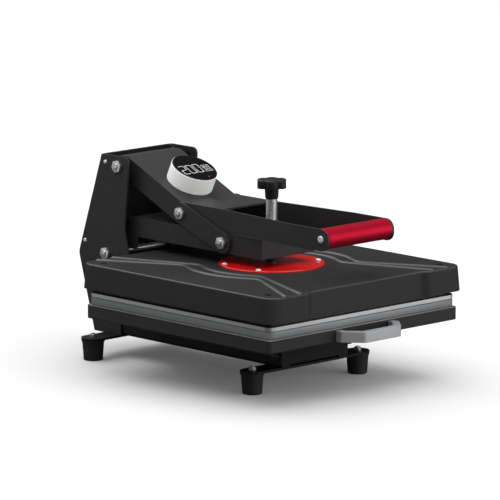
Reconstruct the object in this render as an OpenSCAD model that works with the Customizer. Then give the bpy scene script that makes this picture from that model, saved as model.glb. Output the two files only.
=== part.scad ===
// Flat heat press with a slide-out lower platen, a lifting head and a toggle handle.
// Front is -Y, the operator's right is +X and the feet stand on Z = 0.

/* [Heat platen] */
// Width of the heated platen
platen_w = 380; // [320:1:440]
// Depth of the heated platen, front to back
platen_d = 386; // [320:1:440]
// Thickness of the platen at its open edge
platen_flange_t = 6; // [4:0.5:10]
// Thickness of the whole platen
platen_t = 14; // [12:0.5:20]
// Width of the step from the platen's edge to its raised back
platen_step = 8; // [4:0.5:14]
// Corner radius of the platen and the pad
platen_corner_r = 12; // [6:1:20]
// Diameter of the heater tube in the platen's back
heater_d = 8; // [6:0.5:10]
// Number of straight runs of the heater tube
heater_runs = 6; // [4:2:8]
// Thickness of the insulation over the heater
insulation_t = 10; // [6:1:14]

/* [Head cover] */
// How far the cover stands out past the platen at the sides
cover_side_lap = 9; // [5:0.5:16]
// How far the cover stands out past the platen at front and back
cover_end_lap = 12; // [8:0.5:18]
// Height of the cover
cover_h = 37; // [30:1:50]
// Wall of the cover
cover_wall = 3; // [2:0.5:5]
// Open gap between the platen's edge and the cover
cover_gap = 6.7; // [3:0.1:10]
// Corner radius of the cover
cover_corner_r = 22; // [14:1:32]
// Rounding of the cover's top edge
cover_edge_r = 4; // [2:0.5:6]
// How far each wall leans in towards the top
cover_draft = 2.5; // [0:0.5:4]
// Depth of the set-back middle of the cover's front
front_recess = 7; // [3:0.5:10]
// Width of each corner block beside the set-back front
corner_block_w = 80; // [60:1:100]
// Radius of the inner ridge where it goes round the disc
ridge_inner_r = 103; // [92:1:108]
// Distance between the two ridges
ridge_pitch = 23; // [16:1:28]
// Width of a pressed ridge
ridge_w = 7; // [4:0.5:10]
// Height of a pressed ridge
ridge_h = 1.6; // [0.8:0.1:3]
// Angle at which a ridge leaves the round part for the corner
ridge_turn = 38; // [30:1:46]
// Distance of the cover screws from the cover's corner edges
cover_screw_inset = 24; // [18:1:32]

/* [Pressure disc and screw] */
// Diameter of the pressure disc on the cover
disc_d = 156; // [140:1:170]
// Thickness of the pressure disc
disc_t = 2.5; // [2:0.5:6]
// Distance of the disc screws from the disc's edge
disc_screw_inset = 7; // [6:0.5:16]
// Angle of each disc screw from the X axis
disc_screw_turn = 30; // [20:1:45]
// Diameter of the pressure screw
screw_d = 17; // [12:1:20]
// Height of the knob's underside above the arm
knob_rise = 68.5; // [60:0.5:84]
// Diameter over the knob's lobes
knob_d = 45; // [36:1:56]
// Height of the knob's lobed head
knob_h = 11; // [8:0.5:16]
// Number of lobes on the knob
knob_lobes = 6; // [5:1:8]

/* [Drawer] */
// How far the tray stands out past the pad at the sides
tray_side_lap = 4; // [2:0.5:10]
// How far the tray stands out past the pad at front and back
tray_end_lap = 1; // [0:0.5:8]
// Height of the lower tray
tray_h = 19.5; // [15:0.5:26]
// Sheet thickness of the tray's top and skirt
tray_t = 4; // [2.5:0.5:6]
// Corner radius of the tray
tray_corner_r = 8; // [6:1:14]
// How far each wall of the tray leans in towards the top
tray_draft = 3; // [0:0.5:4]
// Thickness of the silicone foam pad
pad_t = 12; // [8:0.5:16]
// Length over the drawer pull's legs
pull_w = 118; // [100:1:140]
// Length of the pull's straight front bar
pull_bar_w = 72; // [50:1:76]
// How far the pull stands out from the tray
pull_reach = 38; // [34:1:50]
// Straight part of each leg of the pull
pull_leg = 11; // [6:1:18]
// Height of the pull's bar
pull_h = 15.5; // [10:0.5:18]
// Thickness of the pull's bar
pull_t = 11; // [8:0.5:13]

/* [Base] */
// Width of the base channel
base_w = 136; // [124:1:160]
// Height of the base channel
base_h = 45; // [40:1:60]
// Sheet thickness of the base and the stand
sheet_t = 3; // [2:0.5:4]
// How far the base's front lies behind the tray's front
base_setback = 103; // [80:1:130]
// Gap between the base and the tray
drawer_gap = 7.5; // [5:0.5:12]
// Height of a slide rail
rail_h = 28; // [24:1:34]
// Length of the slide rails
rail_l = 278; // [240:1:290]
// Height of a foot
foot_h = 31; // [24:1:40]
// Diameter of a foot's top rim
foot_d = 35; // [30:1:42]
// Distance between left and right feet
foot_spacing = 216; // [200:1:260]
// Width of a foot bar
bar_w = 36; // [30:1:44]
// Thickness of a foot bar
bar_t = 3.5; // [2.5:0.5:6]

/* [Linkage] */
// Gap between the pressure disc and the arm
arm_gap = 14; // [13:0.5:20]
// Height of the arm's channel
arm_h = 30; // [28:1:36]
// Outside width of the arm and the lever
arm_w = 108; // [100:1:112]
// How far the arm reaches in front of the pressure screw
arm_nose = 35; // [30:1:45]
// Distance from the cover's back to the arm's pivot
pivot_setback = 79; // [70:1:95]
// Drop of the arm's pivot below the arm's underside
pivot_drop = 29; // [24:1:36]
// Height of the lever's pivot above the arm's pivot
pivot_rise = 135; // [125:1:145]
// How far the lever's pivot lies in front of the arm's pivot
pivot_lead = 27; // [20:1:34]
// Distance of the link's front pivot behind the pressure screw
link_end_y = 45; // [40:1:60]
// Length of the link measured along Y
link_run = 89; // [80:1:100]
// Height of the knee above the link's front pivot
knee_rise = 33; // [28:1:38]
// Width of a link plate
link_w = 32; // [26:1:36]
// Thickness of a link plate
link_t = 4; // [3:0.5:6]
// Diameter of the pivot bolts
pivot_d = 10; // [8:0.5:12]

/* [Lever and grip] */
// Distance from the pivot line up to the lever's top plate
lever_top = 13.5; // [12:0.5:18]
// Distance from the pivot line down to the lever's lower edge
lever_drop = 19.5; // [16:0.5:24]
// Height of the handle arms
handle_h = 32.2; // [30:0.1:36]
// How far the top plate stops behind the pressure screw
plate_end_y = 49; // [44:1:58]
// Where the handle arms start to spread, behind the pressure screw
spread_start_y = 39; // [32:1:42]
// Where the handle arms end their spread, in front of the pressure screw
spread_end_y = 106; // [90:1:120]
// Length of the grip between the handle arms
grip_l = 129; // [120:1:150]
// Diameter of the grip
grip_d = 31; // [28:1:34]
// Distance of the grip in front of the pressure screw
grip_reach = 171; // [160:1:200]
// Diameter of the display drum
drum_d = 71; // [56:1:80]
// Height of the display drum
drum_h = 26; // [18:1:32]
// Place of the drum on the sloped plate, from the lever's pivot
drum_place = 83; // [75:1:92]

/* [Stand] */
// Height of the stand above the lever's pivot
stand_top_margin = 15.5; // [14:0.5:20]
// How far the stand reaches behind the lever's pivot at the top
stand_top_back = 36; // [32:1:44]
// How far the stand reaches behind the arm's pivot at its widest
stand_back = 59; // [50:1:70]
// How far the stand's foot reaches behind the arm's pivot
stand_foot_back = 27; // [24:1:36]
// Thickness of the rear cover
rear_cover_t = 2; // [1.5:0.5:3]

/* [Hidden] */
$fn = 48;
arc_steps = 7;
fit = 0.05;
run_gap = 0.4;
seat_gap = 0.3;
bolt_head_h = 6.5;
bolt_head_d = 19.6;

// Heights from the floor up
bar_z = foot_h;
base_z = bar_z + bar_t;
base_top = base_z + base_h;
tray_z = base_top + drawer_gap;
pad_z = tray_z + tray_h;
platen_z = pad_z + pad_t + seat_gap;
platen_back = platen_z + platen_t;
cover_z = platen_z + platen_flange_t + cover_gap;
cover_top = cover_z + cover_h;
disc_top = cover_top + disc_t;
arm_z = disc_top + arm_gap;
arm_top = arm_z + arm_h;

// Plan sizes, with the pressure screw at the middle
cover_w = platen_w + 2 * cover_side_lap;
cover_d = platen_d + 2 * cover_end_lap;
cover_front = -cover_d / 2;
tray_w = platen_w + 2 * tray_side_lap;
tray_d = platen_d + 2 * tray_end_lap;
base_front = -tray_d / 2 + base_setback;
side_in = base_w / 2;
side_out = side_in + sheet_t;
arm_out = arm_w / 2;
arm_in = arm_out - sheet_t;
link_in = arm_out + run_gap;
link_out = link_in + link_t;

// Pivots of the linkage as [Y, Z]
arm_pivot = [cover_d / 2 + pivot_setback, arm_z - pivot_drop];
lever_pivot = arm_pivot + [-pivot_lead, pivot_rise];
link_end = [link_end_y, arm_z + arm_h / 2 + 1];
knee = link_end + [link_run, knee_rise];

// The lever's slope, its direction down to the front and its upward normal
slope_run = lever_pivot[0] - knee[0];
slope_fall = lever_pivot[1] - knee[1];
slope = atan2(slope_fall, slope_run);
slope_dir = [-cos(slope), -sin(slope)];
slope_up = [-sin(slope), cos(slope)];
grip_z = knee[1] + 0.9;
handle_top = grip_z + grip_d / 2 - 0.5;
handle_z = handle_top - handle_h;
handle_out = grip_l / 2 + sheet_t;
handle_end = -grip_reach - grip_d / 2 + 0.5;

// Stand, feet and frame
stand_top = lever_pivot[1] + stand_top_margin;
stand_foot_y = arm_pivot[0] + stand_foot_back;
cover_tab_w = 20;
base_back = stand_foot_y - cover_tab_w - 4;
foot_front_y = base_front + bar_w / 2 + 2;
foot_rear_y = arm_pivot[0] - 11;
pull_front = -tray_d / 2 - pull_reach;

// Outline tools

function unit(v) = v / norm(v);
function left_of(a, b) = let (u = unit(b - a)) [-u[1], u[0]];
function turn_to(a) = a > 180 ? a - 360 : a < -180 ? a + 360 : a;

// Points of the arc of radius r that rounds the corner b between a and c
function corner_arc(a, b, c, r) =
    r <= 0 ? [b] :
    let (u = unit(a - b), v = unit(c - b), half = acos(u * v) / 2,
         mid = b + unit(u + v) * r / sin(half),
         p = b + u * r / tan(half) - mid, q = b + v * r / tan(half) - mid,
         from = atan2(p[1], p[0]), sweep = turn_to(atan2(q[1], q[0]) - from))
    [for (i = [0 : arc_steps]) let (w = from + sweep * i / arc_steps) mid + r * [cos(w), sin(w)]];

// A closed outline from corners [x, y, radius]
function rounded(corners) =
    let (n = len(corners), p = [for (c = corners) [c[0], c[1]]])
    [for (i = [0 : n - 1]) each corner_arc(p[(i + n - 1) % n], p[i], p[(i + 1) % n], corners[i][2])];

// A path moved sideways to its left by t
function beside(path, t) =
    let (n = len(path))
    [for (i = [0 : n - 1])
        i == 0 ? path[0] + t * left_of(path[0], path[1]) :
        i == n - 1 ? path[i] + t * left_of(path[i - 1], path[i]) :
        let (a = left_of(path[i - 1], path[i]), b = left_of(path[i], path[i + 1]))
        path[i] + t * (a + b) / (1 + a * b)];

// Outline of a sheet bent along a path, with bend radii outside and inside
function bent_sheet(path, t, r_path, r_side) =
    let (n = len(path), side = beside(path, t))
    rounded(concat(
        [for (i = [0 : n - 1]) [path[i][0], path[i][1], i == 0 || i == n - 1 ? 0 : r_path]],
        [for (i = [n - 1 : -1 : 0]) [side[i][0], side[i][1], i == 0 || i == n - 1 ? 0 : r_side]]));

// A point on the lever, s down its slope and h above its pivot line
function on_slope(s, h) = lever_pivot + s * slope_dir + h * slope_up;
// Where a line h above the pivot line comes down to height z
function slope_at(z, h) = on_slope((z - lever_pivot[1] - h * slope_up[1]) / slope_dir[1], h);

module placed() { translate([0, -frame_y, 0]) children(); }
module both_sides() { children(); mirror([1, 0, 0]) children(); }

// A plate with an outline in Y and Z, from x0 to x0 + t
module side_plate(x0, t, outline) {
    translate([x0, 0, 0]) rotate([90, 0, 90]) linear_extrude(t) polygon(outline);
}

// A cylinder along X
module x_rod(p, d, x0, x1, sides = 0) {
    translate([x0, p[0], p[1]]) rotate([0, 90, 0])
        cylinder(d = d, h = x1 - x0, $fn = sides > 0 ? sides : $fn);
}

module x_ring(p, d_out, d_in, x0, x1) {
    difference() {
        x_rod(p, d_out, x0, x1);
        x_rod(p, d_in, x0 - 1, x1 + 1);
    }
}

module rounded_rect(w, d, r) {
    square([w - 2 * r, d], center = true);
    square([w, d - 2 * r], center = true);
    for (x = [-1, 1], y = [-1, 1]) translate([x * (w / 2 - r), y * (d / 2 - r)]) circle(r);
}

module at_corners(x, y) { for (sx = [-1, 1], sy = [-1, 1]) translate([sx * x, sy * y, 0]) children(); }

// Feet and base

foot_bolt_d = 6;
foot_nut_d = 11.5;
foot_nut_h = 4.5;
foot_head_h = 6;
foot_stud_h = 1.5;
foot_recess_d = 18;
foot_recess_h = 9;
foot_rim_t = 3;
foot_taper = 2;

module at_feet() {
    for (x = [-1, 1], y = [foot_front_y, foot_rear_y]) translate([x * foot_spacing / 2, y, 0]) children();
}

module rubber_feet() placed() color([0.07, 0.07, 0.07]) at_feet() rotate_extrude() polygon([
    [foot_bolt_d / 2 + fit, foot_recess_h], [foot_recess_d / 2, foot_recess_h], [foot_recess_d / 2, 0],
    [foot_d / 2 - 2 * foot_taper, 0], [foot_d / 2 - 1.5 * foot_taper, 1],
    [foot_d / 2 - 0.5 * foot_taper, foot_h - foot_rim_t], [foot_d / 2, foot_h - foot_rim_t],
    [foot_d / 2, foot_h], [foot_bolt_d / 2 + fit, foot_h]]);

module foot_bolts() placed() color([0.62, 0.62, 0.64]) at_feet() {
    low = foot_recess_h - foot_head_h;
    translate([0, 0, low]) cylinder(d = foot_nut_d, h = foot_head_h, $fn = 6);
    translate([0, 0, low]) cylinder(d = foot_bolt_d, h = base_z - low);
    translate([0, 0, base_z]) cylinder(d = foot_nut_d, h = foot_nut_h, $fn = 6);
    translate([0, 0, base_z]) cylinder(d = foot_bolt_d, h = foot_nut_h + foot_stud_h);
}

module foot_bar(y) {
    difference() {
        translate([0, y, bar_z]) {
            translate([-foot_spacing / 2, -bar_w / 2, 0]) cube([foot_spacing, bar_w, bar_t]);
            for (x = [-1, 1]) translate([x * foot_spacing / 2, 0, 0]) cylinder(d = bar_w, h = bar_t);
        }
        for (x = [-1, 1]) translate([x * foot_spacing / 2, y, bar_z - 1])
            cylinder(d = foot_bolt_d + 2 * fit, h = bar_t + 2);
    }
}

module front_foot_bar() placed() color([0.09, 0.09, 0.09]) foot_bar(foot_front_y);
module rear_foot_bar() placed() color([0.09, 0.09, 0.09]) foot_bar(foot_rear_y);

base_lip = 18;
fold_r = 1.5;

// A folded channel, open below between two lips, closed at the front
module base_channel() placed() color([0.08, 0.08, 0.085]) {
    half = base_w / 2;
    lip = half - base_lip;
    fold = [[-lip, 0], [-half, 0], [-half, base_h], [half, base_h], [half, 0], [lip, 0]];
    translate([0, base_back, base_z]) rotate([90, 0, 0]) linear_extrude(base_back - base_front)
        polygon(bent_sheet(fold, -sheet_t, fold_r + sheet_t, fold_r));
    translate([-half + sheet_t, base_front, base_z + sheet_t])
        cube([base_w - 2 * sheet_t, sheet_t, base_h - 2 * sheet_t]);
}

// Drawer slides

rail_t = 1.5;
rail_z = base_top - rail_h - 1;
rail_y = base_front + sheet_t;
rail_deep = 11;
middle_h = rail_h - 2 * rail_t - 2 * run_gap;
inner_h = middle_h - 2 * rail_t - 2 * run_gap;

// A rail of C section, its web at x0, open away from the base, or towards it when turned
module c_rail(x0, h, deep, turned = false) {
    web_x = turned ? x0 + deep - rail_t : x0;
    z0 = rail_z + (rail_h - h) / 2;
    translate([web_x, rail_y, z0]) cube([rail_t, rail_l, h]);
    for (z = [z0, z0 + h - rail_t]) translate([x0, rail_y, z]) cube([deep, rail_l, rail_t]);
}

module slide_outer_rails() placed() color([0.1, 0.1, 0.105]) both_sides() c_rail(side_in, rail_h, rail_deep);

module slide_middle_rails() placed() color([0.1, 0.1, 0.105]) both_sides()
    c_rail(side_in + rail_t + run_gap, middle_h, rail_deep);

inner_x = side_in + 2 * (rail_t + run_gap);
inner_out = inner_x + rail_deep;

module slide_inner_rails() placed() color([0.1, 0.1, 0.105]) both_sides()
    c_rail(inner_x, inner_h, rail_deep, turned = true);

// Stand

stand_mid_y = arm_pivot[0] - 41;
stand_neck_y = stand_mid_y - 8;
stand_low_front = arm_pivot[0] - 32;
rear_bend_r = 20;

// Corners of the stand's back edge, from the top down
stand_edge = [
    [lever_pivot[0] + stand_top_back, stand_top],
    [arm_pivot[0] + stand_back + 2, arm_pivot[1] - 5],
    [stand_foot_y, base_z]];

stand_outline = rounded([
    [stand_edge[0][0], stand_edge[0][1], 3],
    [lever_pivot[0] - 24, stand_top, 9],
    [stand_mid_y, arm_pivot[1] + 40, 14],
    [stand_neck_y, arm_pivot[1] + 5, 6],
    [stand_neck_y, arm_pivot[1] - 20, 10],
    [stand_low_front, arm_pivot[1] - 76, 14],
    [stand_low_front, base_z, 0],
    [stand_edge[2][0], stand_edge[2][1], 0],
    [stand_edge[1][0], stand_edge[1][1], rear_bend_r]]);

// Middle of the whole press, front to back
frame_y = (max([for (p = stand_outline) p[0]]) + pull_front) / 2;

small_screw_d = 4;
small_head_d = 6.4;

// Screws that hold the rear cover to the stand plates
function along(a, b, f, inward) = a + f * (b - a) + inward * left_of(b, a);
stand_screws = [
    along(stand_edge[0], stand_edge[1], 0.05, cover_tab_w / 2 + 2),
    along(stand_edge[0], stand_edge[1], 0.86, cover_tab_w / 2 - 2),
    along(stand_edge[1], stand_edge[2], 0.7, cover_tab_w / 2 - 2)];

inlet_w = 27.5;
inlet_h = 20;
inlet_at = [arm_pivot[0] + 2, base_top + 20];
switch_w = 13;
switch_h = 22;
switch_at = [inlet_at[0], inlet_at[1] + 31];

module stand_plate(x0) {
    difference() {
        side_plate(x0, sheet_t, stand_outline);
        for (p = [lever_pivot, arm_pivot]) x_rod(p, pivot_d + 2 * fit, x0 - 1, x0 + sheet_t + 1);
        for (p = stand_screws) x_rod(p, small_screw_d + 2 * fit, x0 - 1, x0 + sheet_t + 1);
    }
}

module stand_left_plate() placed() color([0.085, 0.085, 0.09]) stand_plate(-side_out);

// The right plate has the windows of the mains inlet and the switch
module stand_right_plate() placed() color([0.085, 0.085, 0.09]) difference() {
    stand_plate(side_in);
    translate([side_in - 1, inlet_at[0] - inlet_w / 2, inlet_at[1] - inlet_h / 2])
        cube([sheet_t + 2, inlet_w, inlet_h]);
    translate([side_in - 1, switch_at[0] - switch_w / 2, switch_at[1] - switch_h / 2])
        cube([sheet_t + 2, switch_w, switch_h]);
}

// A bent sheet down the back with a tab along each side
module stand_rear_cover() placed() color([0.1, 0.1, 0.105]) difference() {
    inset = seat_gap;
    union() {
        side_plate(-side_in + inset, base_w - 2 * inset,
                   bent_sheet(stand_edge, -rear_cover_t, rear_bend_r, rear_bend_r - rear_cover_t));
        both_sides() side_plate(side_in - inset - rear_cover_t, rear_cover_t,
                   bent_sheet(stand_edge, -cover_tab_w, rear_bend_r, rear_bend_r - cover_tab_w));
    }
    for (p = stand_screws) x_rod(p, small_screw_d + 2 * fit, -side_out, side_out);
}

module stand_cover_screws() placed() color([0.78, 0.78, 0.8]) both_sides() for (p = stand_screws) {
    x_rod(p, small_head_d, side_out, side_out + 2.4);
    x_rod(p, small_screw_d, side_in - 8, side_out);
}

// Through bolt with a hex head on the left and a nut on the right
module pivot_bolt(p) {
    x_rod(p, bolt_head_d, -side_out - bolt_head_h, -side_out, 6);
    x_rod(p, pivot_d, -side_out, side_out + bolt_head_h + 2);
    x_rod(p, bolt_head_d, side_out, side_out + bolt_head_h, 6);
}

module lever_pivot_bolt() placed() color([0.72, 0.72, 0.74]) pivot_bolt(lever_pivot);
module arm_pivot_bolt() placed() color([0.72, 0.72, 0.74]) pivot_bolt(arm_pivot);

module pivot_spacers() placed() color([0.6, 0.6, 0.62]) both_sides() for (p = [lever_pivot, arm_pivot])
    x_ring(p, pivot_d + 10, pivot_d + 2 * fit, arm_out + seat_gap, side_in);

// Mains inlet with three blades, open to the right
module power_inlet() placed() color([0.06, 0.06, 0.06]) translate([side_out, inlet_at[0], inlet_at[1]]) {
    rim = 4;
    deep = 16;
    difference() {
        union() {
            translate([-deep, -inlet_w / 2 + fit, -inlet_h / 2 + fit])
                cube([deep, inlet_w - 2 * fit, inlet_h - 2 * fit]);
            translate([0, -inlet_w / 2 - rim, -inlet_h / 2 - rim])
                cube([2.5, inlet_w + 2 * rim, inlet_h + 2 * rim]);
        }
        translate([-deep + 2, -inlet_w / 2 + 2, -inlet_h / 2 + 2]) cube([deep + 2, inlet_w - 4, inlet_h - 4]);
    }
    for (y = [-7, 0, 7]) translate([-deep + 1, y - 1, y == 0 ? 0 : -4]) cube([deep - 5, 2, 4]);
}

rocker_wall = 1.5;

module switch_bezel() placed() color([0.06, 0.06, 0.06])
translate([side_out, switch_at[0], switch_at[1]]) difference() {
    union() {
        translate([-14, -switch_w / 2 + fit, -switch_h / 2 + fit])
            cube([14, switch_w - 2 * fit, switch_h - 2 * fit]);
        translate([0, -switch_w / 2 - 2.5, -switch_h / 2 - 2.5]) cube([2, switch_w + 5, switch_h + 5]);
    }
    translate([-10, -switch_w / 2 + rocker_wall, -switch_h / 2 + rocker_wall])
        cube([14, switch_w - 2 * rocker_wall, switch_h - 2 * rocker_wall]);
}

rocker_x = side_out - 4;
rocker_tilt = 10;
rocker_w = switch_w - 2 * rocker_wall - 2 * run_gap;

// Rocker with a dished face, shown tipped to one side
module power_switch() placed() color([0.75, 0.06, 0.05])
translate([rocker_x, switch_at[0], switch_at[1]]) rotate([0, rocker_tilt, 0]) difference() {
    rocker_r = switch_h / 2 - rocker_wall - 0.6;
    translate([0, rocker_w / 2, 0]) rotate([90, 0, 0]) cylinder(r = rocker_r, h = rocker_w);
    translate([-20, -rocker_w, -20]) cube([17, 2 * rocker_w, 40]);
    translate([31, rocker_w, 0]) rotate([90, 0, 0]) cylinder(r = 26, h = 2 * rocker_w, $fn = 96);
}

// Circuit board that switches the heater, on posts inside the rear cover
board_h = 62;
board_w = 96;
board_t = 1.6;
board_off = 8;
board_post_d = 6;
relay = [28, 16, 28];

module control_board() placed() color([0.05, 0.3, 0.12]) {
    foot = along(stand_edge[1], stand_edge[2], 0.32, rear_cover_t + fit);
    lean = atan2(stand_edge[1][0] - stand_edge[2][0], stand_edge[1][1] - stand_edge[2][1]);
    translate([0, foot[0], foot[1]]) rotate([-lean, 0, 0]) {
        translate([-board_w / 2, -board_off, -board_h / 2]) cube([board_w, board_t, board_h]);
        for (x = [-1, 1], z = [-1, 1])
            translate([x * (board_w / 2 - board_post_d), 0, z * (board_h / 2 - board_post_d)])
                rotate([90, 0, 0]) cylinder(d = board_post_d, h = board_off - board_t);
        translate([-1.2 * relay[0], -board_off - relay[1], -0.8 * relay[2]]) cube(relay);
        translate([0.3 * relay[0], -board_off - 0.7 * relay[1], -0.7 * relay[2]])
            cube([relay[0], 0.7 * relay[1], relay[2] / 2]);
    }
}

// Drawer

tray_rib_h = 8;

// Section of the tray across its width, or across its depth with upright walls
module tray_profile(w, draft = tray_draft) {
    polygon([[-w / 2, 0], [w / 2, 0], [w / 2 - draft, tray_h], [-w / 2 + draft, tray_h]]);
}

// Folded tray, open below, with cross ribs under its top
module lower_tray() placed() color([0.09, 0.09, 0.095]) difference() {
    intersection() {
        translate([0, 0, tray_z]) linear_extrude(tray_h) rounded_rect(tray_w, tray_d, tray_corner_r);
        translate([0, tray_d / 2, tray_z]) rotate([90, 0, 0]) linear_extrude(tray_d) tray_profile(tray_w);
        translate([-tray_w / 2, 0, tray_z]) rotate([90, 0, 90]) linear_extrude(tray_w) tray_profile(tray_d, 0);
    }
    difference() {
        inset = 2 * (tray_t + tray_draft);
        translate([0, 0, tray_z - 1]) linear_extrude(tray_h - tray_t + 1)
            rounded_rect(tray_w - inset, tray_d - 2 * tray_t, tray_corner_r - tray_t + 1);
        rib_z = tray_z + tray_h - tray_t - tray_rib_h;
        for (x = [-1, 1]) translate([x * tray_w / 3 - tray_t / 2, -tray_d / 2, rib_z])
            cube([tray_t, tray_d, tray_rib_h]);
    }
    for (x = pull_screw_x) translate([x, -tray_d / 2 - 1, pull_z + pull_h / 2]) rotate([-90, 0, 0])
        cylinder(d = pull_bolt_d + 2 * fit, h = tray_t + 2);
}

module silicone_pad() placed() color([0.45, 0.46, 0.47]) translate([0, 0, pad_z])
    linear_extrude(pad_t) rounded_rect(platen_w, platen_d, platen_corner_r);

pull_z = tray_z + 1;
pull_bolt_d = 5;
pull_bolt_l = 12;
pull_head_d = 9;
pull_head_h = 3.5;
pull_screw_x = [-pull_w / 2 + pull_t / 2, pull_w / 2 - pull_t / 2];

// Bow pull: two straight legs, two slanted shoulders and a straight bar
module drawer_pull() placed() color([0.6, 0.61, 0.62]) difference() {
    face = -tray_d / 2;
    path = [[-pull_w / 2, face], [-pull_w / 2, face - pull_leg], [-pull_bar_w / 2, face - pull_reach],
            [pull_bar_w / 2, face - pull_reach], [pull_w / 2, face - pull_leg], [pull_w / 2, face]];
    translate([0, 0, pull_z]) linear_extrude(pull_h) polygon(bent_sheet(path, pull_t, 6, 2));
    for (x = pull_screw_x) translate([x, face + 1, pull_z + pull_h / 2]) rotate([90, 0, 0])
        cylinder(d = pull_bolt_d, h = pull_bolt_l + 2);
}

module pull_screws() placed() color([0.72, 0.72, 0.74]) for (x = pull_screw_x)
    translate([x, -tray_d / 2 + tray_t, pull_z + pull_h / 2]) rotate([90, 0, 0]) {
        cylinder(d = pull_bolt_d - 2 * fit, h = tray_t + pull_bolt_l);
        translate([0, 0, -pull_head_h]) cylinder(d = pull_head_d, h = pull_head_h);
    }

// Angle brackets that carry the tray on the inner rails
module tray_brackets() placed() color([0.12, 0.12, 0.12]) both_sides() {
    top = tray_z + tray_h - tray_t;
    low = rail_z + (rail_h - inner_h) / 2;
    translate([inner_out, rail_y, low]) cube([sheet_t, rail_l, top - low]);
    translate([inner_out, rail_y, top - sheet_t]) cube([25, rail_l, sheet_t]);
}

// Arm

arm_boss_r = 17;
arm_heel_y = arm_pivot[0] - 50;
arm_heel_z = arm_pivot[1] + 10;

arm_side = rounded([
    [-arm_nose, arm_z, 0],
    [-arm_nose, arm_top, 0],
    [arm_pivot[0] - 20, arm_top, 14],
    [arm_pivot[0] + arm_boss_r, arm_pivot[1] + 8, 6],
    [arm_pivot[0] + arm_boss_r, arm_pivot[1] - arm_boss_r, arm_boss_r - 1],
    [arm_pivot[0] - arm_boss_r, arm_pivot[1] - arm_boss_r, arm_boss_r - 1],
    [arm_pivot[0] - arm_boss_r, arm_heel_z, 3],
    [arm_heel_y, arm_heel_z, 6],
    [arm_heel_y, arm_z, 4]]);

bush_d = pivot_d + 4;

// Folded arm: two side walls, a top and a nose plate, open below
module lower_arm() placed() color([0.085, 0.085, 0.09]) difference() {
    union() {
        both_sides() side_plate(arm_in, sheet_t, arm_side);
        translate([-arm_out, -arm_nose, arm_top - sheet_t])
            cube([arm_w, arm_pivot[0] - 42 + arm_nose, sheet_t]);
        translate([-arm_out, -arm_nose, arm_z]) cube([arm_w, sheet_t, arm_h]);
    }
    x_rod(arm_pivot, bush_d + 2 * fit, -arm_out - 1, arm_out + 1);
    translate([0, 0, arm_top - sheet_t - 1]) cylinder(d = screw_d + 4, h = sheet_t + 2);
}

bush_l = 9;

module arm_bushes() placed() color([0.7, 0.55, 0.28]) both_sides()
    x_ring(arm_pivot, bush_d, pivot_d + 2 * fit, arm_out - bush_l, arm_out);

nut_h = 20;
nut_wall = 10;
nut_flange = 17;
nut_flange_t = 4;

// Threaded boss under the arm's top that the pressure screw turns in
module screw_nut() placed() color([0.55, 0.56, 0.58]) difference() {
    translate([0, 0, arm_top - sheet_t - nut_h]) {
        cylinder(d = screw_d + 2 * nut_wall, h = nut_h);
        translate([0, 0, nut_h - nut_flange_t]) cylinder(d = screw_d + 2 * nut_flange, h = nut_flange_t);
    }
    translate([0, 0, arm_z - 10]) cylinder(d = screw_d + 4 * fit, h = arm_h + 10);
}

// Head: disc, cover and platen

disc_screw_d = 6;
disc_head_d = 10;
disc_head_h = 2.6;
disc_screw_l = 20;
cover_screw_l = 18;
cover_head_deep = 1.5;
post_d = 14;
corner_post_d = 11;
bore_spare = 3;
cover_screw_x = cover_w / 2 - cover_screw_inset;
cover_screw_y = cover_d / 2 - front_recess - cover_screw_inset;

disc_screw_r = disc_d / 2 - disc_screw_inset;

module at_disc_screws() {
    at_corners(disc_screw_r * cos(disc_screw_turn), disc_screw_r * sin(disc_screw_turn)) children();
}

hub_d = 50;
hub_h = 15;
hub_floor = 4;
hub_roof = 4;

// Round plate with a broken top edge, bored for the screw
module pressure_disc() placed() color([0.78, 0.04, 0.03]) translate([0, 0, cover_top]) difference() {
    rotate_extrude($fn = 96) polygon([[screw_d / 2 + fit, 0], [disc_d / 2, 0], [disc_d / 2, disc_t - 1],
                                      [disc_d / 2 - 1, disc_t], [screw_d / 2 + fit, disc_t]]);
    at_disc_screws() translate([0, 0, -1]) cylinder(d = disc_screw_d + 2 * fit, h = disc_t + 2);
}

module disc_screws() placed() color([0.78, 0.78, 0.8]) at_disc_screws() {
    translate([0, 0, disc_top]) cylinder(d = disc_head_d, h = disc_head_h);
    translate([0, 0, cover_top - disc_screw_l]) cylinder(d = disc_screw_d, h = disc_screw_l + disc_t);
}

collar_d = screw_d + 8;
collar_h = hub_h - hub_floor - hub_roof - 2 * seat_gap;
collar_z = cover_top - hub_h + hub_floor + seat_gap;

// Hub under the disc that holds the screw's collar so that it can turn
module swivel_hub() placed() color([0.5, 0.51, 0.53]) difference() {
    translate([0, 0, cover_top - hub_h]) cylinder(d = hub_d, h = hub_h);
    translate([0, 0, collar_z - seat_gap]) cylinder(d = collar_d + 2 * seat_gap, h = collar_h + 2 * seat_gap);
    translate([0, 0, collar_z]) cylinder(d = screw_d + 2 * fit, h = hub_h);
}

// A round corner of the cover: leaning wall, rounded top edge
module cover_corner(r) {
    top_r = r - cover_draft;
    edge = [for (a = [0 : 22.5 : 90])
        [top_r - cover_edge_r * (1 - cos(a)), cover_h - cover_edge_r * (1 - sin(a))]];
    rotate_extrude($fn = 32) polygon(concat([[0, 0], [r, 0]], edge, [[0, cover_h]]));
}

// Whole outside of the cover, before its front is set back
module cover_shape() {
    hull() at_corners(cover_w / 2 - cover_corner_r, cover_d / 2 - cover_corner_r) cover_corner(cover_corner_r);
}

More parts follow.
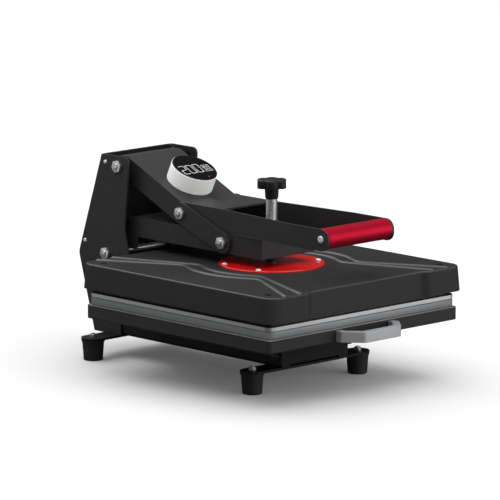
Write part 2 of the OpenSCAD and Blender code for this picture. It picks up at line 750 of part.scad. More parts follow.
// What is taken off the middle of the front, with the same lean and rounded edge as the other walls
module front_cut() {
    face = cover_front + front_recess;
    edge = [for (a = [0 : 22.5 : 90])
        [face + cover_draft + cover_edge_r * (1 - cos(a)), cover_h - cover_edge_r * (1 - sin(a))]];
    cut_w = cover_w - 2 * corner_block_w;
    side_plate(-cut_w / 2, cut_w, concat([[cover_front - 5, -5], [face, -5], [face, 0]], edge,
        [[face + cover_draft + cover_edge_r, cover_h + 5], [cover_front - 5, cover_h + 5]]));
}

ridge_end_y = cover_d / 2 - cover_draft - cover_edge_r - 2;
ridge_spread = 1.32;
ridge_steps = 14;

// Middle line of one ridge: in from the front corner, round the disc and out to the back corner
function ridge_line(r) = concat(
    [[-ridge_spread * r, -ridge_end_y]],
    [for (i = [0 : ridge_steps]) let (a = ridge_turn * (2 * i / ridge_steps - 1)) r * [-cos(a), sin(a)]],
    [[-ridge_spread * r, ridge_end_y]]);

module ridge(r) {
    left = beside(ridge_line(r), ridge_w / 2);
    right = beside(ridge_line(r), -ridge_w / 2);
    polygon(concat(left, [for (i = [len(right) - 1 : -1 : 0]) right[i]]));
}

module platen_cover() placed() color([0.16, 0.16, 0.165]) translate([0, 0, cover_z]) difference() {
    union() {
        difference() {
            cover_shape();
            front_cut();
        }
        for (i = [0, 1]) both_sides() translate([0, 0, cover_h - 0.5]) linear_extrude(ridge_h + 0.5)
            ridge(ridge_inner_r + i * ridge_pitch);
    }
    inner_w = cover_w - 2 * (cover_wall + cover_draft);
    inner_d = cover_d - front_recess - 2 * (cover_wall + cover_draft);
    translate([0, front_recess / 2, -1]) linear_extrude(cover_h - cover_wall + 1)
        rounded_rect(inner_w, inner_d, cover_corner_r - cover_wall);
    cylinder(d = hub_d + 2, h = 2 * cover_h);
    at_disc_screws() cylinder(d = disc_screw_d + 2 * fit, h = 2 * cover_h);
    at_corners(cover_screw_x, cover_screw_y) {
        cylinder(d = small_screw_d + 2 * fit, h = 2 * cover_h);
        translate([0, 0, cover_h - cover_head_deep]) cylinder(d = small_head_d + 3, h = cover_h);
    }
}

module cover_screws() placed() color([0.1, 0.1, 0.1]) at_corners(cover_screw_x, cover_screw_y) {
    translate([0, 0, cover_top - cover_head_deep]) cylinder(d = small_head_d, h = cover_head_deep);
    translate([0, 0, cover_top - cover_screw_l])
        cylinder(d = small_screw_d, h = cover_screw_l - cover_head_deep);
}

// Posts between the platen's back and the underside of the cover
module platen_posts() placed() color([0.6, 0.6, 0.62]) difference() {
    post_h = cover_top - cover_wall - platen_back;
    translate([0, 0, platen_back]) {
        at_disc_screws() cylinder(d = post_d, h = post_h);
        at_corners(cover_screw_x, cover_screw_y) cylinder(d = corner_post_d, h = post_h);
    }
    at_disc_screws() translate([0, 0, cover_top - disc_screw_l - bore_spare])
        cylinder(d = disc_screw_d + 2 * fit, h = cover_h);
    at_corners(cover_screw_x, cover_screw_y) translate([0, 0, cover_top - cover_screw_l - bore_spare])
        cylinder(d = small_screw_d + 2 * fit, h = cover_h);
}

heater_side = 42;
heater_end = 60;
heater_pitch = (platen_w - 2 * platen_step - 2 * heater_side) / (heater_runs - 1);
heater_half = platen_d / 2 - platen_step - heater_end;
insulation_inset = 30;
heater_z = platen_back - heater_d / 2 - 0.4;

// A section carried along straight runs with round bends, its ends towards the back
module heater_path() {
    first = -heater_pitch * (heater_runs - 1) / 2;
    for (i = [0 : heater_runs - 1]) translate([first + i * heater_pitch, heater_half, heater_z])
        rotate([90, 0, 0]) linear_extrude(2 * heater_half) children();
    for (i = [0 : heater_runs - 2]) {
        front = i % 2 == 0;
        translate([first + (i + 0.5) * heater_pitch, front ? -heater_half : heater_half, heater_z])
            rotate(front ? 180 : 0) rotate_extrude(angle = 180) translate([heater_pitch / 2, 0]) children();
    }
}

module heat_platen() placed() color([0.72, 0.73, 0.74]) difference() {
    union() {
        translate([0, 0, platen_z]) linear_extrude(platen_flange_t)
            rounded_rect(platen_w, platen_d, platen_corner_r);
        translate([0, 0, platen_z]) linear_extrude(platen_t)
            rounded_rect(platen_w - 2 * platen_step, platen_d - 2 * platen_step, platen_corner_r - 3);
    }
    groove_w = heater_d + 2 * seat_gap;
    heater_path() translate([-groove_w / 2, -heater_d / 2]) square([groove_w, heater_d + 5]);
}

module heating_element() placed() color([0.45, 0.42, 0.4]) heater_path() circle(d = heater_d);

module insulation_board() placed() color([0.85, 0.83, 0.76]) translate([0, 0, platen_back]) difference() {
    linear_extrude(insulation_t)
        rounded_rect(platen_w - 2 * insulation_inset, platen_d - 2 * insulation_inset, platen_corner_r);
    at_disc_screws() translate([0, 0, -1]) cylinder(d = post_d + 1, h = insulation_t + 2);
}

// Pressure screw and knob

knob_z = arm_top + knob_rise;
neck_h = 18;
knob_foot = knob_z - neck_h;
knob_seat = 4;

module pressure_screw() placed() color([0.7, 0.71, 0.72]) {
    translate([0, 0, collar_z]) cylinder(d = collar_d, h = collar_h);
    translate([0, 0, collar_z]) cylinder(d = screw_d, h = knob_z + knob_seat - collar_z);
}

// Lobed hand knob on a tapered neck
module pressure_knob() placed() color([0.07, 0.07, 0.07]) difference() {
    scallop_d = knob_d * 0.34;
    round_r = knob_h / 4;
    union() {
        translate([0, 0, knob_z]) difference() {
            rotate_extrude() polygon(rounded([
                [0, 0, 0], [knob_d / 2, 0, round_r], [knob_d / 2, knob_h, round_r], [0, knob_h, 0]]));
            for (i = [0 : knob_lobes - 1]) rotate((i + 0.5) * 360 / knob_lobes)
                translate([knob_d / 2 + scallop_d * 0.22, 0, -1]) cylinder(d = scallop_d, h = knob_h + 2);
        }
        translate([0, 0, knob_foot]) cylinder(d1 = screw_d + 2.5, d2 = screw_d + 4, h = neck_h);
    }
    translate([0, 0, knob_foot - 1]) cylinder(d = screw_d + 2 * fit, h = knob_z + knob_seat - knob_foot + 1);
}

// Lever and grip

plate_bend = slope_at(handle_top, lever_top);
lower_bend = slope_at(handle_z, -lever_drop);
lever_tail = 13.5;
tail_bend = on_slope(-3, lever_top);
tail_end = [lever_pivot[0] + stand_top_back / 2, tail_bend[1]];

lever_side = rounded([
    [tail_end[0], tail_end[1], 5],
    [tail_bend[0], tail_bend[1], 6],
    [plate_bend[0], plate_bend[1], 6],
    [spread_start_y, handle_top, 0],
    [spread_start_y, handle_z, 0],
    [lower_bend[0], lower_bend[1], 10],
    [on_slope(-lever_tail, -lever_drop)[0], on_slope(-lever_tail, -lever_drop)[1], 12]]);

// The handle arm seen from above, from the lever's wall to the grip
handle_path = [[arm_out, spread_start_y + 12], [arm_out, spread_start_y], [handle_out, -spread_end_y],
               [handle_out, handle_end]];

// Outline that rounds the handle arms about the grip
handle_outline = rounded([
    [spread_start_y + 13, handle_z, 0], [spread_start_y + 13, handle_top, 0],
    [handle_end, handle_top, grip_d / 2 - 0.6], [handle_end, handle_z, handle_h - grip_d / 2 - 3]]);

// Bent sheet lever: level tail, sloped plate, level plate, two walls and two spread handle arms
module lever_frame() placed() color([0.09, 0.09, 0.095]) difference() {
    union() {
        top_path = [tail_end - [5, 0], tail_bend, plate_bend, [plate_end_y, handle_top]];
        side_plate(-arm_out, arm_w, bent_sheet(top_path, sheet_t, 6, 6 + sheet_t));
        both_sides() side_plate(arm_in, sheet_t, lever_side);
        both_sides() intersection() {
            translate([0, 0, handle_z]) linear_extrude(handle_h)
                polygon(bent_sheet(handle_path, -sheet_t, 8, 8));
            side_plate(0, 2 * handle_out, handle_outline);
        }
    }
    x_rod(lever_pivot, bush_d + 2 * fit, -arm_out - 1, arm_out + 1);
    x_rod(knee, pivot_d + 2 * fit, -arm_out - 1, arm_out + 1);
    x_rod([-grip_reach, grip_z], grip_bolt_d + 2 * fit, -handle_out - 1, handle_out + 1);
}

module lever_bushes() placed() color([0.7, 0.55, 0.28]) both_sides()
    x_ring(lever_pivot, bush_d, pivot_d + 2 * fit, arm_out - bush_l, arm_out);

grip_bolt_d = 8;
grip_bolt_l = 30;
grip_head_d = 11;
grip_head_h = 2.8;
grip_edge = 1;
grip_at = [-grip_reach, grip_z];

module grip_sleeve() placed() color([0.72, 0.03, 0.08]) difference() {
    translate([-grip_l / 2, grip_at[0], grip_at[1]]) rotate([0, 90, 0]) rotate_extrude() polygon([
        [0, 0], [grip_d / 2 - grip_edge, 0], [grip_d / 2, grip_edge], [grip_d / 2, grip_l - grip_edge],
        [grip_d / 2 - grip_edge, grip_l], [0, grip_l]]);
    both_sides() x_rod(grip_at, grip_bolt_d + 2 * fit, grip_l / 2 - grip_bolt_l - 2, grip_l / 2 + 1);
}

module grip_bolts() placed() color([0.8, 0.8, 0.82]) both_sides() {
    x_rod(grip_at, grip_bolt_d, grip_l / 2 - grip_bolt_l, handle_out);
    x_rod(grip_at, grip_head_d, handle_out, handle_out + grip_head_h);
}

// Display on the sloped plate

drum_wall = 2.5;
face_d = drum_d - 3.4;
face_t = 1.5;

module on_plate() {
    at = on_slope(drum_place, lever_top + fit);
    translate([0, at[0], at[1]]) rotate([slope, 0, 0]) children();
}

module display_housing() placed() color([0.9, 0.9, 0.9]) on_plate() rotate_extrude($fn = 96) polygon([
    [0, 0], [drum_d / 2, 0], [drum_d / 2, drum_h - 0.8], [drum_d / 2 - 0.8, drum_h], [face_d / 2 + fit, drum_h],
    [face_d / 2 + fit, drum_h - face_t], [drum_d / 2 - drum_wall - 1.5, drum_h - face_t],
    [drum_d / 2 - drum_wall - 1.5, drum_wall], [0, drum_wall]]);

module display_face() placed() color([0.03, 0.03, 0.035]) on_plate() translate([0, 0, drum_h - face_t])
    cylinder(d = face_d, h = face_t, $fn = 96);

module display_board() placed() color([0.05, 0.3, 0.12]) on_plate() {
    board_d = drum_d - 2 * drum_wall - 6;
    translate([0, 0, drum_h - face_t - 8]) cylinder(d = board_d, h = 1.6);
    translate([-16, -8, drum_h - face_t - 6.4]) cube([32, 16, 6]);
    for (a = [0 : 120 : 240]) rotate(a) translate([board_d / 2 - 5, 0, drum_wall])
        cylinder(d = 5, h = drum_h - face_t - 8 - drum_wall);
}

// Links

module link_plate(x0) {
    difference() {
        union() {
            for (p = [knee, link_end]) x_rod(p, link_w, x0, x0 + link_t);
            side_plate(x0, link_t, [
                knee + link_w / 2 * left_of(knee, link_end), link_end + link_w / 2 * left_of(knee, link_end),
                link_end - link_w / 2 * left_of(knee, link_end), knee - link_w / 2 * left_of(knee, link_end)]);
        }
        for (p = [knee, link_end]) x_rod(p, pivot_d + 2 * fit, x0 - 1, x0 + link_t + 1);
    }
}

module link_left() placed() color([0.085, 0.085, 0.09]) link_plate(-link_out);
module link_right() placed() color([0.085, 0.085, 0.09]) link_plate(link_in);

// Bolts through link and lever wall, with the nut inside
module knee_bolts() placed() color([0.72, 0.72, 0.74]) both_sides() {
    x_rod(knee, bolt_head_d, link_out, link_out + bolt_head_h, 6);
    x_rod(knee, pivot_d, arm_in - seat_gap - bolt_head_h - 2, link_out);
    x_rod(knee, bolt_head_d, arm_in - seat_gap - bolt_head_h, arm_in - seat_gap, 6);
}

// Bolts of the front pivot, ending just short of the arm's wall
module link_end_bolts() placed() color([0.72, 0.72, 0.74]) both_sides() {
    x_rod(link_end, bolt_head_d, link_out, link_out + bolt_head_h, 6);
    x_rod(link_end, pivot_d, arm_out + seat_gap, link_out);
}

rubber_feet();
foot_bolts();
front_foot_bar();
rear_foot_bar();
base_channel();
slide_outer_rails();
stand_left_plate();
stand_right_plate();
stand_rear_cover();
stand_cover_screws();
lever_pivot_bolt();
arm_pivot_bolt();
pivot_spacers();
power_inlet();
switch_bezel();
power_switch();
control_board();
slide_middle_rails();
lower_tray();
silicone_pad();
drawer_pull();
pull_screws();
slide_inner_rails();
tray_brackets();
lower_arm();
arm_bushes();
screw_nut();
pressure_disc();
disc_screws();
swivel_hub();
platen_cover();
cover_screws();
platen_posts();
heat_platen();
heating_element();
insulation_board();
pressure_screw();
pressure_knob();
lever_frame();
lever_bushes();
grip_sleeve();
grip_bolts();
display_housing();
display_face();
display_board();
link_left();
link_right();
knee_bolts();
link_end_bolts();
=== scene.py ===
import math

import bmesh
import bpy
from mathutils import Matrix, Vector


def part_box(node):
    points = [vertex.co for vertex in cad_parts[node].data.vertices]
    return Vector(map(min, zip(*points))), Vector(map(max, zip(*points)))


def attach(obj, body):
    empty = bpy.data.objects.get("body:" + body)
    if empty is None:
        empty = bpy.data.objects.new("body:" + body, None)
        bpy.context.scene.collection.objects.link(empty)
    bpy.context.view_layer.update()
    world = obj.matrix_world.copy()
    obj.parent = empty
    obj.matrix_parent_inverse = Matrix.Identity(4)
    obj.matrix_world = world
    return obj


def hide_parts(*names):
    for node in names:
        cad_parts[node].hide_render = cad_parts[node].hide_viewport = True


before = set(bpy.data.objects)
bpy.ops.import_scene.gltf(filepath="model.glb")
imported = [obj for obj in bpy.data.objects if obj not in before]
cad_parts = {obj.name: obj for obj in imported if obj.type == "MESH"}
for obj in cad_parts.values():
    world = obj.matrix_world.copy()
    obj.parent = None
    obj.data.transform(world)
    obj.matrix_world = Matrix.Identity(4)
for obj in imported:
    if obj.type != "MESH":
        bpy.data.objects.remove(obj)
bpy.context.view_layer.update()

scene = bpy.context.scene


# Feet and foot bars: four tapered rubber feet, pressed in a mould, are bolted under the ends
# of two steel strips with round ends. The strips are cut from plate and dipped in black paint.
MM = 0.001


def linear(code):
    """Linear colour of an sRGB hex value."""
    parts = [int(code[i:i + 2], 16) / 255 for i in (1, 3, 5)]
    return [c / 12.92 if c <= 0.04045 else ((c + 0.055) / 1.055) ** 2.4 for c in parts] + [1.0]


def add(material, kind, settings=None, links=None):
    """Adds a node, sets its properties and sockets, and links its sockets from other outputs."""
    made = material.node_tree.nodes.new(kind)
    for name, value in (settings or {}).items():
        if isinstance(name, int) or name in made.inputs:
            made.inputs[name].default_value = value
        else:
            setattr(made, name, value)
    for name, source in (links or {}).items():
        material.node_tree.links.new(source, made.inputs[name])
    return made


def surface(name, tones, patch, grain, depth, rough, stretch=(1, 1, 1), edge=0.6, shader=None):
    """A material that drifts between two tones over patches and has a fine grain, sizes in mm.

    stretch draws the grain out into streaks, rough is the range of the roughness and
    edge is the width to which its sharp edges look broken."""
    material = bpy.data.materials.new(name)
    material.use_nodes = True
    skin = material.node_tree.nodes["Principled BSDF"]
    for socket, value in (shader or {}).items():
        skin.inputs[socket].default_value = value
    place = add(material, "ShaderNodeTexCoord").outputs["Object"]
    stretched = add(material, "ShaderNodeMapping", {"Scale": stretch}, {"Vector": place})
    drawn = stretched.outputs["Vector"]
    drift = add(material, "ShaderNodeTexNoise", {"Scale": 1 / (patch * MM), "Detail": 4.0},
                {"Vector": place})
    fine = add(material, "ShaderNodeTexNoise", {"Scale": 1 / (grain * MM), "Detail": 2.0},
               {"Vector": drawn})
    tone = add(material, "ShaderNodeMix",
               {"data_type": "RGBA", 6: linear(tones[0]), 7: linear(tones[1])},
               {0: drift.outputs["Fac"]})
    gloss = add(material, "ShaderNodeMapRange", {"To Min": rough[0], "To Max": rough[1]},
                {"Value": fine.outputs["Fac"]})
    broken = add(material, "ShaderNodeBevel", {"samples": 6, "Radius": edge * MM})
    lift = add(material, "ShaderNodeBump", {"Strength": 1.0, "Distance": depth * MM},
               {"Height": fine.outputs["Fac"], "Normal": broken.outputs["Normal"]})
    link = material.node_tree.links.new
    link(tone.outputs[2], skin.inputs["Base Color"])
    link(gloss.outputs["Result"], skin.inputs["Roughness"])
    link(lift.outputs["Normal"], skin.inputs["Normal"])
    return material


def dress(material, *nodes):
    """Gives CAD nodes their finish."""
    for name in nodes:
        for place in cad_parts[name].material_slots:
            place.material = material


# Natural rubber from a mould: near black and dull, with a soft skin grain
moulded_rubber = surface("moulded_rubber", ("#191919", "#141414"), patch=30, grain=0.9, depth=0.02,
                         rough=(0.6, 0.75))
# Stoved dip paint: duller than the coat on the parts above, and its deeper black is painted shade, as
# these low parts lie in shade under the tray
shaded_dip_paint = surface("stoved_dip_paint_shaded", ("#131314", "#0f0f10"), patch=60, grain=1.8, depth=0.02,
                    rough=(0.5, 0.6), edge=1.2, shader={"Specular IOR Level": 0.25})
dress(moulded_rubber, "rubber_feet")
dress(shaded_dip_paint, "front_foot_bar", "rear_foot_bar")


# Foot bolts: a bolt with a nut comes up through each foot and its bar.
# Steel, zinc plated, so it is bright and a little milky.
zinc_plate = surface("zinc_plated_steel", ("#d9dadb", "#c3c5c7"), patch=12, grain=0.6, depth=0.003,
                     rough=(0.24, 0.34), shader={"Metallic": 0.9})
dress(zinc_plate, "foot_bolts")


# Base channel and drawer slides: a dip-painted channel of folded 3 mm sheet carries everything.
# Three-part ball slides of rolled strip, electrocoated black, are screwed to its sides.
# Electrocoat: a thin even black that keeps the long lines of the rolled strip below it
electrocoat = surface("electrocoated_rolled_strip", ("#171718", "#121213"), patch=15, grain=1.2,
                      depth=0.01, rough=(0.35, 0.5), stretch=(1, 0.05, 1),
                      shader={"Specular IOR Level": 0.25})
dress(shaded_dip_paint, "base_channel")
dress(electrocoat, "slide_outer_rails", "slide_middle_rails", "slide_inner_rails")


# Lower tray: a sheet tray folded down on four sides, open below, on two angle brackets.
# Powder coated black, over edges that are bent round, not cut.
def tint(material, where, code):
    """Gives a material another colour where a mask is 1."""
    skin = material.node_tree.nodes["Principled BSDF"]
    plain = skin.inputs["Base Color"].links[0].from_socket
    tone = add(material, "ShaderNodeMix", {"data_type": "RGBA", 7: linear(code)}, {0: where, 6: plain})
    material.node_tree.links.new(tone.outputs[2], skin.inputs["Base Color"])


def recoloured_above(material, height, code, metal, way=(0, 0, 1)):
    """Gives a material another colour and metalness above a height, measured along a way."""
    place = add(material, "ShaderNodeTexCoord").outputs["Object"]
    level = add(material, "ShaderNodeVectorMath", {"operation": "DOT_PRODUCT", 1: way}, {0: place})
    mask = add(material, "ShaderNodeMath", {"operation": "GREATER_THAN", 1: height},
               {0: level.outputs["Value"]})
    above = mask.outputs["Value"]
    tint(material, above, code)
    metallic = material.node_tree.nodes["Principled BSDF"].inputs["Metallic"]
    metalness = add(material, "ShaderNodeMapRange", {"To Min": metallic.default_value, "To Max": metal},
                    {"Value": above})
    material.node_tree.links.new(metalness.outputs["Result"], metallic)


# Powder coat on steel: satin black with the shallow orange peel of melted powder,
# drawn at 1.5 mm because the real 0.5 mm is too fine to show
powder_coat = surface("powder_coated_steel", ("#272728", "#222223"), patch=80, grain=1.5, depth=0.02,
                      rough=(0.46, 0.54), edge=1.2, shader={"Specular IOR Level": 0.3})
# The tray's powder coat is drawn darker than the stand's: painted shade under the head's overhang
tray_coat_shade_and_highlight = surface("powder_coated_bent_sheet_shade_and_highlight", ("#1e1e1f", "#19191a"), patch=80, grain=1.5, depth=0.02,
                    rough=(0.44, 0.52), edge=2.6, shader={"Specular IOR Level": 0.3})
# A dull grey band is painted down from the tray's top: a painted highlight along the rim, which the head's
# overhang keeps out of the light
rim_highlight_band = 0.9 * MM
recoloured_above(tray_coat_shade_and_highlight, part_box("lower_tray")[1].z - rim_highlight_band, "#707172", 0.0)
dress(tray_coat_shade_and_highlight, "lower_tray")
dress(powder_coat, "tray_brackets")


# Pad: a slab of closed-cell silicone foam cut to the platen's size and laid on the tray.
# Its skin is grey and waxy, and its cut edge swells a little under the closed head.
def piece(name, shape, material, body, sharp=35):
    """Turns a finished bmesh into an object that rides on a body."""
    bmesh.ops.remove_doubles(shape, verts=shape.verts, dist=0.0005 * MM)
    bmesh.ops.recalc_face_normals(shape, faces=shape.faces)
    for face in shape.faces:
        face.smooth = True
    mesh = bpy.data.meshes.new(name)
    shape.to_mesh(mesh)
    shape.free()
    mesh.set_sharp_from_angle(angle=math.radians(sharp))
    mesh.materials.append(material)
    made = bpy.data.objects.new(name, mesh)
    scene.collection.objects.link(made)
    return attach(made, body)


def rounded_slab(corners, low, high, rounds):
    """A slab with an outline of corners, each group of corners rounded to its own radius.

    Returns the bmesh and the vertices of the slab's top."""
    shape = bmesh.new()
    ring = [shape.verts.new((x, y, low)) for x, y in corners]
    shape.faces.new(ring)
    for picked, radius, steps in rounds:
        bmesh.ops.bevel(shape, geom=[ring[i] for i in picked], offset=radius, offset_type="OFFSET",
                        segments=steps, profile=0.5, affect="VERTICES", material=-1)
    grown = bmesh.ops.extrude_face_region(shape, geom=shape.faces[:])
    top = [v for v in grown["geom"] if isinstance(v, bmesh.types.BMVert)]
    bmesh.ops.translate(shape, verts=top, vec=(0, 0, high - low))
    return shape, top


near = 0.01 * MM


def rim_of(shape, height):
    """The edges of a slab that lie all round it at one height."""
    return [e for e in shape.edges if all(abs(v.co.z - height) < near for v in e.verts)]


# Silicone foam: mid grey, with fine closed cells that show as a faint mottle under a waxy skin
silicone_foam = surface("silicone_foam_sheet", ("#666869", "#5e6062"), patch=25, grain=1.0, depth=0.03,
                        rough=(0.42, 0.5), shader={"Specular IOR Level": 1.0})
pad_low, pad_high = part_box("silicone_pad")
pad_corner = 12 * MM
pad_edge = 2.2 * MM
outline = [(pad_low.x, pad_low.y), (pad_high.x, pad_low.y),
           (pad_high.x, pad_high.y), (pad_low.x, pad_high.y)]
shape, _ = rounded_slab(outline, pad_low.z, pad_high.z, [(range(4), pad_corner, 8)])
bmesh.ops.bevel(shape, geom=rim_of(shape, pad_low.z) + rim_of(shape, pad_high.z), offset=pad_edge,
                segments=3, profile=0.5, affect="EDGES", material=-1)
foam_pad = piece("foam_pad", shape, silicone_foam, "drawer")
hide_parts("silicone_pad")


# Drawer pull: a bow handle bent from a flat aluminium bar, with two straight legs.
# It is brushed along its length, clear anodised and held by two screws from inside the tray.
brushed_aluminium = surface("brushed_aluminium", ("#bfc0c2", "#b2b4b6"), patch=40, grain=0.8,
                            depth=0.012, rough=(0.3, 0.42), stretch=(0.03, 1, 1),
                            shader={"Metallic": 0.75})
dress(brushed_aluminium, "drawer_pull")
dress(zinc_plate, "pull_screws")


# Stand: two plates cut from 3 mm steel are screwed to the base, with a bent cover between
# them at the back. All are powder coated black.
dress(powder_coat, "stand_left_plate", "stand_right_plate", "stand_rear_cover")


# Stand screws: small round-headed screws hold the rear cover to the plates.
# Nickel plated, so they catch the light as white dots.
round_steps = 32


def turned(profile, steps=round_steps):
    """A solid of revolution about Z from points of radius and height."""
    part = bmesh.new()
    points = [part.verts.new((r, 0, z)) for r, z in profile]
    edges = [part.edges.new(pair) for pair in zip(points, points[1:])]
    bmesh.ops.spin(part, geom=points + edges, cent=(0, 0, 0), axis=(0, 0, 1), dvec=(0, 0, 0),
                   angle=2 * math.pi, steps=steps, use_merge=True)
    bmesh.ops.remove_doubles(part, verts=part.verts, dist=0.001 * MM)
    return part


def put(shape, part, place):
    """Adds a finished part to a shape at a place."""
    bmesh.ops.transform(part, matrix=place, verts=part.verts)
    carried = bpy.data.meshes.new("carried")
    part.to_mesh(carried)
    part.free()
    shape.from_mesh(carried)
    bpy.data.meshes.remove(carried)


def facing(point, way):
    """A place at a point, with Z turned to a way: 'left', 'right' or 'up'."""
    turn = {"left": -90, "right": 90, "up": 0}[way]
    return Matrix.Translation(point) @ Matrix.Rotation(math.radians(turn), 4, "Y")


def domed_head(radius, height, socket, shank, length):
    """A round screw head with a dished drive and its shank, the head's seat at height 0."""
    rim = 0.25 * height
    step = math.radians(9)
    stem = [(0, -length), (shank, -length), (shank, 0), (radius, 0)]
    dome = [(radius * math.cos(step * i), rim + (height - rim) * math.sin(step * i)) for i in range(8)]
    dish = [(socket, 0.95 * height), (0.8 * socket, 0.35 * height), (0, 0.3 * height)]
    return turned(stem + dome + dish)


def solid_middles(node):
    """The middle and half size of each separate solid of a CAD node, in order of place."""
    loose = bmesh.new()
    loose.from_mesh(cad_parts[node].data)
    bmesh.ops.remove_doubles(loose, verts=loose.verts, dist=0.001 * MM)
    left = set(loose.verts)
    found = []
    while left:
        reached = [left.pop()]
        low = reached[0].co.copy()
        high = low.copy()
        while reached:
            point = reached.pop()
            low = Vector(map(min, low, point.co))
            high = Vector(map(max, high, point.co))
            fresh = [e.other_vert(point) for e in point.link_edges if e.other_vert(point) in left]
            left.difference_update(fresh)
            reached += fresh
        found.append(((low + high) / 2, (high - low) / 2))
    loose.free()
    return sorted(found, key=lambda solid: tuple(solid[0]))


# Dull nickel plate: whiter than zinc, and it scatters part of its light,
# so it looks white from all sides
nickel_plate = surface("nickel_plated_steel", ("#ededee", "#dcdddf"), patch=6, grain=0.5, depth=0.002,
                       rough=(0.3, 0.4), shader={"Metallic": 0.6})
stand_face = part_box("stand_right_plate")[1].x
shape = bmesh.new()
for middle, half in solid_middles("stand_cover_screws"):
    way = "right" if middle.x > 0 else "left"
    seat = Vector((math.copysign(stand_face, middle.x), middle.y, middle.z))
    head = domed_head(half.y, height=2.4 * MM, socket=0.8 * MM, shank=2 * MM, length=5 * MM)
    put(shape, head, facing(seat, way))
stand_screws = piece("stand_screws", shape, nickel_plate, "base")
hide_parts("stand_cover_screws")


# Pivot bolts: bolts on which the lever and the arm turn, with a hex nut and the bolt's end
# at each side and turned spacers between plate and lever. Zinc plated steel.
def hex_nut(across, height, bolt, tip):
    """A hex nut with cut corners and the bolt's domed end standing out, its seat at height 0."""
    part = bmesh.new()
    radius = across / math.sqrt(3)
    corner_cut = 0.1 * across
    edge_break = 0.025 * across
    made = bmesh.ops.create_cone(part, cap_ends=True, segments=6, radius1=radius, radius2=radius,
                                 depth=height, matrix=Matrix.Translation((0, 0, height / 2)))
    upper = [v for v in made["verts"] if v.co.z > height / 2]
    bmesh.ops.bevel(part, geom=upper, offset=corner_cut, offset_type="OFFSET", segments=3, profile=0.5,
                    affect="VERTICES", material=-1)
    bmesh.ops.bevel(part, geom=part.edges[:], offset=edge_break, offset_type="OFFSET", segments=2,
                    profile=0.5, affect="EDGES", material=-1)
    step = math.radians(18)
    dome = [(bolt * math.cos(step * i), height + tip * math.sin(step * i)) for i in range(5)]
    put(part, turned([(0, height / 2), (bolt, height / 2)] + dome + [(0, height + tip)]), Matrix())
    return part


def rod(radius, length, broken):
    """A plain round rod up from height 0 with broken ends."""
    return turned([(0, 0), (radius - broken, 0), (radius, broken), (radius, length - broken),
                   (radius - broken, length), (0, length)])


nut_across = 17 * MM
bolt_radius = 5 * MM
nut_high = 4.7 * MM
tip_high = 1.8 * MM
head_high = nut_high + tip_high
nut_turn = Matrix.Rotation(math.radians(12), 4, "Z")


def put_nut(shape, seat, way):
    """Adds a hex nut, turned a little, and the bolt's end, seated on a plate."""
    put(shape, hex_nut(nut_across, nut_high, bolt_radius, tip_high), facing(seat, way) @ nut_turn)


for name in ("lever_pivot_bolt", "arm_pivot_bolt"):
    low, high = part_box(name)
    axis = (low + high) / 2
    shape = bmesh.new()
    left_seat = Vector((-stand_face, axis.y, axis.z))
    put_nut(shape, left_seat, "left")
    put_nut(shape, Vector((stand_face, axis.y, axis.z)), "right")
    put(shape, rod(bolt_radius, high.x + stand_face, broken=0.8 * MM), facing(left_seat, "right"))
    bolt = piece(name + "_set", shape, zinc_plate, "base")
    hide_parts(name)
# Blued steel: dark and smooth, so only a thin line along the top of each spacer shines
blued_steel = surface("blued_turned_steel", ("#53565a", "#45484c"), patch=20, grain=0.6, depth=0.001,
                      rough=(0.2, 0.26), shader={"Metallic": 1.0})
dress(blued_steel, "pivot_spacers")


# Mains inlet and switch: a three-pin appliance inlet and a rocker switch clipped into the
# right plate. Moulded nylon, black, with a red rocker.
moulded_nylon = surface("moulded_nylon", ("#161617", "#121213"), patch=20, grain=0.7, depth=0.015,
                        rough=(0.42, 0.55), shader={"Specular IOR Level": 0.3})
# Red plastic from a polished mould, so it shines
rocker_plastic = surface("moulded_red_polycarbonate", ("#b51a14", "#a51410"), patch=10, grain=0.6,
                         depth=0.005, rough=(0.2, 0.3))
dress(moulded_nylon, "power_inlet", "switch_bezel")
dress(rocker_plastic, "power_switch")


# Circuit boards: one behind the stand's rear cover and one in the display drum.
# Glass-epoxy board under black solder resist, which gives a smooth satin skin.
solder_resist = surface("black_solder_resist", ("#171a18", "#121513"), patch=8, grain=0.8, depth=0.01,
                        rough=(0.3, 0.45))
dress(solder_resist, "control_board", "display_board")


# Arm: a channel folded from 3 mm sheet, open below, that carries the head.
# It turns on two sintered bronze bushes, and a steel boss under its top holds the screw.
# Sintered bronze: dull brown, dark with the oil that its pores hold
sintered_bronze = surface("sintered_bronze", ("#5f4c30", "#4f3f28"), patch=5, grain=0.4, depth=0.02,
                          rough=(0.35, 0.5), shader={"Metallic": 1.0})
# Turned steel: bright, with a fine even grain
turned_steel = surface("turned_steel", ("#e2e3e4", "#d6d7d9"), patch=10, grain=0.5, depth=0.001,
                       rough=(0.36, 0.44), shader={"Metallic": 1.0})
dress(powder_coat, "lower_arm")
dress(sintered_bronze, "arm_bushes", "lever_bushes")
dress(turned_steel, "screw_nut", "swivel_hub")


# Heat platen: a cast aluminium plate, milled flat below and along its edge, with a sheathed
# heater tube cast into its back, an insulation board over it and steel posts up to the cover.
# Milled aluminium: pale, with long fine streaks left by the cutter
cast_aluminium = surface("milled_cast_aluminium", ("#d2d3d4", "#c2c4c6"), patch=60, grain=1.2,
                         depth=0.002, rough=(0.34, 0.42), stretch=(0.04, 0.04, 1),
                         shader={"Metallic": 1.0})
# Steel sheath stained brown by heat
heater_sheath = surface("heat_stained_sheath", ("#6a625a", "#544c45"), patch=14, grain=0.6, depth=0.01,
                        rough=(0.35, 0.5), shader={"Metallic": 1.0})
# Pressed ceramic fibre: off-white and quite matt, with a felted skin
fibre_board = surface("pressed_fibre_board", ("#d9d4c6", "#c9c3b3"), patch=12, grain=1.4, depth=0.15,
                      rough=(0.8, 0.95))
